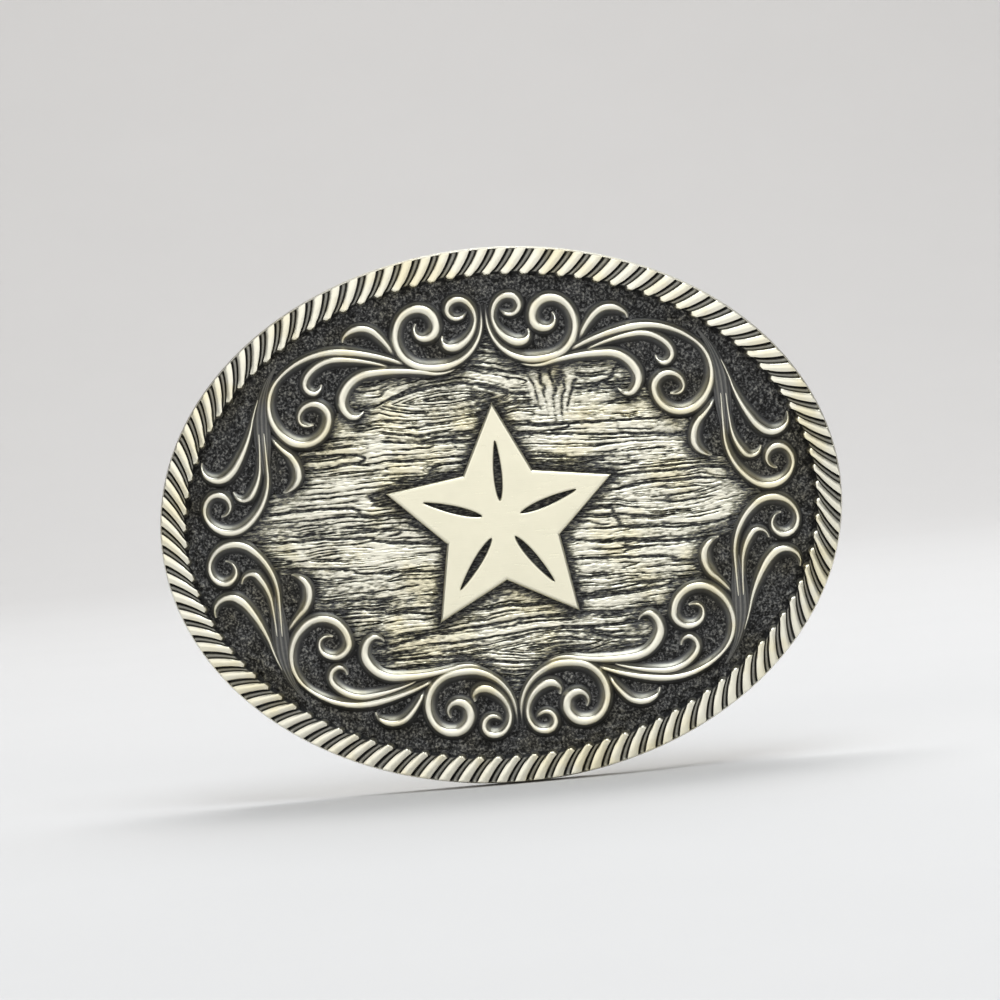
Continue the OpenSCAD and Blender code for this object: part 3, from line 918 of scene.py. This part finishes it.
class BUCKLE_OT_hinge(bpy.types.Operator):
    """Builds the strip and the two knuckles that hold the strap loop"""
    bl_idname = "buckle.hinge"
    bl_label = "Hinge"

    def execute(self, context):
        colour = tuple(context.scene.buckle_colours.fittings)
        material = fitting_brass("satin_fitting_brass", colour, 0.34, 0.3)
        strip = conform(rounded_box(HINGE_TURN, half_x=5.0, half_z=16.0, low=-0.9, high=1.2,
            radius=0.35, wear=0.7), 0.05)
        make_piece("hinge_strip_plate", [strip], material, "buckle", "hinge_strip")
        for name, middle in (("knuckle_upper", 10.0), ("knuckle_lower", -10.0)):
            make_piece(f"{name}_tube", [knuckle_shell(middle)], material, "buckle", name)
        return {"FINISHED"}


def knuckle_shell(middle):
    """A tube on a foot: a closed outline, round above and straight sided below, is joined
    to the bore, with its end faces' edges rounded."""
    outer, bore, foot, half = 2.5, 1.56, 1.18, 3.0
    sweep = np.linspace(-math.pi / 2, 3 * math.pi / 2, 64, endpoint=False)
    out_x, out_y = outer * np.cos(sweep), outer * np.sin(sweep)
    square = np.maximum(np.abs(np.cos(sweep)), np.abs(np.sin(sweep)))
    low = np.sin(sweep) < 0
    leg = WIRE_LIFT - foot
    out_x = np.where(low, np.clip(out_x / square, -outer, outer), out_x)
    out_y = np.where(low, np.clip(out_y / square, -outer, 0) * leg / outer, out_y)
    bevel = 0.3
    quarter = np.linspace(0, math.pi / 2, 5)
    inset = bevel * (1 - np.cos(quarter))
    level = half - bevel + bevel * np.sin(quarter)
    rows = []
    for draw, end in list(zip(inset, -level))[::-1] + list(zip(inset, level)):
        rows.append((out_x * (1 - draw / outer), out_y * (1 - draw / outer), end))
    for draw, end in list(zip(inset * 0.5, level))[::-1] + list(zip(inset * 0.5, -level)):
        rows.append(((bore + draw) * np.cos(sweep), (bore + draw) * np.sin(sweep), end))
    x = np.array([row[0] for row in rows])
    y = np.array([row[1] for row in rows]) + WIRE_LIFT
    z = np.array([np.full(len(sweep), row[2]) for row in rows]) + middle
    wear = np.full(x.shape, 0.75)
    wear[len(quarter) * 2:] = 0.25
    return hoop(on_back(HINGE_TURN, x, y, z), wear)


def loop_shell():
    """The strap loop: a circle carried round an oblong whose corners are quarter circles."""
    radius, corner, depth, half = 1.5, 3.0, 15.0, 21.5
    quarter = np.linspace(0, math.pi / 2, 13)
    corners = ((depth - corner, half - corner, 0), (corner, half - corner, 1),
        (corner, corner - half, 2), (depth - corner, corner - half, 3))
    path, heading = [], []
    for centre_x, centre_z, k in corners:
        angle = quarter + k * math.pi / 2
        path.append(np.stack([centre_x + corner * np.cos(angle),
            centre_z + corner * np.sin(angle)], axis=1))
        heading.append(angle)
    path, heading = np.concatenate(path), np.concatenate(heading)
    ring = np.linspace(0, 2 * math.pi, 32, endpoint=False)
    x = path[:, 0:1] + radius * np.cos(ring) * np.cos(heading)[:, None]
    z = path[:, 1:2] + radius * np.cos(ring) * np.sin(heading)[:, None]
    y = WIRE_LIFT + radius * np.sin(ring) + 0 * x
    x, y, z = [spread_rows(grid, len(quarter), 9) for grid in (x, y, z)]
    return hoop(on_back(HINGE_TURN, x, y, z), np.full(x.shape, 0.8))


class BUCKLE_OT_loop(bpy.types.Operator):
    """Builds the swinging wire loop for the strap"""
    bl_idname = "buckle.loop"
    bl_label = "Strap loop"

    def execute(self, context):
        colour = tuple(context.scene.buckle_colours.fittings)
        material = fitting_brass("drawn_wire_brass", colour, 0.26, 0.15)
        make_piece("strap_loop_wire", [loop_shell()], material, "loop", "strap_loop")
        return {"FINISHED"}


def spread_rows(grid, corner_rows, parts):
    """Adds rows on the straight gap after each corner of a closed path, by linear
    interpolation."""
    rows = []
    for index in range(len(grid)):
        here, ahead = grid[index], grid[(index + 1) % len(grid)]
        count = parts if (index + 1) % corner_rows == 0 else 1
        rows.extend(here + (ahead - here) * k / count for k in range(count))
    return np.array(rows)


class BUCKLE_OT_hook(bpy.types.Operator):
    """Builds the hook peg and its pad"""
    bl_idname = "buckle.hook"
    bl_label = "Hook"

    def execute(self, context):
        colour = tuple(context.scene.buckle_colours.fittings)
        quarter = np.linspace(0, math.pi / 2, 9)
        # The pad has a rounded edge and a small fillet round the peg
        pad, edge, top = 4.5, 0.35, 1.2
        pad_radius = np.concatenate([[0.02, pad], pad - edge * (1 - np.cos(quarter)),
            [2.6, 2.2, 2.02, 0.02]])
        pad_level = np.concatenate([[-0.9, -0.9], top - edge + edge * np.sin(quarter),
            [top, 1.28, 1.5, 1.5]])
        pad_shell = conform(turned(HOOK_TURN, pad_radius, pad_level, 64, 0.65), 0.05)
        # The peg is straight up to its shoulder and ends in a half ball
        peg, shoulder = 2.0, 7.2
        dome = quarter[1:-1]
        peg_radius = np.concatenate([[0.02], np.full(6, peg), peg * np.cos(dome), [0.02]])
        peg_level = np.concatenate([[1.1, 1.1], np.linspace(1.5, shoulder, 5),
            shoulder + peg * np.sin(dome), [shoulder + peg]])
        peg_shell = turned(HOOK_TURN, peg_radius, peg_level, 48, 0.95)
        material = fitting_brass("turned_fitting_brass", colour, 0.3, 1.0)
        make_piece("hook_pad_disc", [pad_shell], material, "buckle", "hook_pad")
        make_piece("hook_peg_pin", [peg_shell], material, "buckle", "hook_peg")
        return {"FINISHED"}


def turned(turn, radius, level, count, wear):
    """A profile of radii and levels turned about an axis square to the back."""
    angle = np.linspace(0, 2 * math.pi, count, endpoint=False)
    x = radius[:, None] * np.cos(angle)
    z = radius[:, None] * np.sin(angle)
    y = np.repeat(level[:, None], count, axis=1)
    return tube(on_back(turn, x, y, z), np.full(x.shape, wear))


class BUCKLE_OT_stage(bpy.types.Operator):
    """Sets the pale floor, the soft lights and the camera"""
    bl_idname = "buckle.stage"
    bl_label = "Studio"

    def execute(self, context):
        scene = context.scene
        stage, colours = scene.buckle_stage, scene.buckle_colours
        backdrop(tuple(colours.floor))
        middle = Vector((0, PLATE_LOW[1] * MM, MIDDLE_Z * MM))
        world = bpy.data.worlds.new("studio_air")
        world.use_nodes = True
        air = world.node_tree.nodes["Background"]
        air.inputs["Color"].default_value = (0.90, 0.94, 1.0, 1.0)
        air.inputs["Strength"].default_value = 0.24
        scene.world = world
        scene.view_settings.view_transform = "Standard"
        soft_light("front_softbox", middle, (0.0, -0.78, 0.14), 1.8, 1.1, 1.08,
            (1.0, 0.99, 0.97))
        soft_light("top_softbox", middle, (0.12, -0.24, 0.78), 0.6, 0.6, 4.2,
            (0.90, 0.95, 1.0))
        soft_light("back_softbox", middle, (0.12, 0.36, 0.74), 0.7, 0.7, 2.4,
            (0.90, 0.95, 1.0))
        soft_light("wall_softbox", Vector((0, 1.6, 0.3)), (0.0, -1.0, 1.1), 1.0, 1.0, 4.7,
            (1.0, 0.99, 0.98))
        target = middle + Vector((0, 0, 0.0020))
        camera_data = bpy.data.cameras.new("studio_camera")
        camera_data.lens = stage.lens
        camera_data.sensor_width = 36.0
        camera_data.clip_start = 0.01
        camera = bpy.data.objects.new("studio_camera", camera_data)
        scene.collection.objects.link(camera)
        away = Vector((0, -math.cos(stage.elevation), math.sin(stage.elevation)))
        place = target + away * stage.distance
        look = (target - place).to_track_quat("-Z", "Y").to_matrix().to_4x4()
        roll = Matrix.Rotation(-stage.roll, 4, "Z")
        camera.matrix_world = Matrix.Translation(place) @ look @ roll
        scene.camera = camera
        return {"FINISHED"}


def soft_light(name, target, offset, width, height, glow, colour):
    """A rectangular area light at an offset from the target, facing it. Its power is the
    wanted glow (radiance) times pi times its area."""
    lamp = bpy.data.lights.new(name, "AREA")
    lamp.shape = "RECTANGLE"
    lamp.size, lamp.size_y = width, height
    lamp.energy = glow * math.pi * width * height
    lamp.color = colour
    light = bpy.data.objects.new(name, lamp)
    bpy.context.scene.collection.objects.link(light)
    light.matrix_world = Matrix.Translation(target + Vector(offset)) @ (
        (-Vector(offset)).to_track_quat("-Z", "Y").to_matrix().to_4x4())


def backdrop(colour):
    """A floor that curves up into a wall behind: a quarter circle swept along x."""
    bend = 0.9
    quarter = np.linspace(0, math.pi / 2, 33)
    y = np.concatenate([[-2.5], 0.7 + bend * np.sin(quarter), [0.7 + bend]])
    z = np.concatenate([[0.0], bend * (1 - np.cos(quarter)), [3.5]])
    x = np.array([-3.0, 3.0])
    points = np.stack([np.repeat(x[None], len(y), axis=0), np.repeat(y[:, None], 2, axis=1),
        np.repeat(z[:, None], 2, axis=1)], axis=-1)
    mesh = bpy.data.meshes.new("studio_floor")
    faces = grid_faces(len(y), 2, close_columns=False)
    mesh.from_pydata(points.reshape(-1, 3).tolist(), [], faces.tolist())
    mesh.polygons.foreach_set("use_smooth", np.ones(len(faces), dtype=bool))
    finish = Finish("studio_floor")
    cloud = finish.clouds(0.05, 3.0)
    tint = finish.node("ShaderNodeMix", {"data_type": "RGBA"},
        {"Factor": cloud, "A": (*shade(colour, 0.97), 1.0), "B": (*colour, 1.0)}, output=2)
    mesh.materials.append(finish.set(Base_Color=tint, Roughness=0.75))
    floor = bpy.data.objects.new("studio_floor", mesh)
    bpy.context.scene.collection.objects.link(floor)


class BUCKLE_PT_panel(bpy.types.Panel):
    """Lists the buckle's pieces in the sidebar"""
    bl_idname = "BUCKLE_PT_panel"
    bl_label = "Belt buckle"
    bl_space_type = "VIEW_3D"
    bl_region_type = "UI"
    bl_category = "Buckle"

    def draw(self, context):
        layout = self.layout
        for group in (context.scene.buckle_sizes, context.scene.buckle_colours,
                context.scene.buckle_stage):
            box = layout.box()
            for key in group.bl_rna.properties.keys():
                if key not in ("rna_type", "name"):
                    box.prop(group, key)
        for operator in OPERATORS:
            layout.operator(operator.bl_idname)


OPERATORS = (BUCKLE_OT_plate, BUCKLE_OT_grain, BUCKLE_OT_rope, BUCKLE_OT_scrolls,
    BUCKLE_OT_star, BUCKLE_OT_hinge, BUCKLE_OT_loop, BUCKLE_OT_hook, BUCKLE_OT_stage)
GROUPS = {"buckle_sizes": BuckleSizes, "buckle_colours": BuckleColours,
    "buckle_stage": BuckleStage}


def register():
    """Registers the settings, the operators and the panel"""
    for group in GROUPS.values():
        bpy.utils.register_class(group)
    for operator in OPERATORS:
        bpy.utils.register_class(operator)
    bpy.utils.register_class(BUCKLE_PT_panel)
    for name, group in GROUPS.items():
        setattr(bpy.types.Scene, name, bpy.props.PointerProperty(type=group))


def unregister():
    """Takes away what register added"""
    for name in GROUPS:
        delattr(bpy.types.Scene, name)
    bpy.utils.unregister_class(BUCKLE_PT_panel)
    for operator in reversed(OPERATORS):
        bpy.utils.unregister_class(operator)
    for group in reversed(GROUPS.values()):
        bpy.utils.unregister_class(group)


def main():
    """Builds every piece and the stage"""
    register()
    for operator in OPERATORS:
        getattr(bpy.ops.buckle, operator.bl_idname.split(".")[1])()


if __name__ == "__main__":
    main()
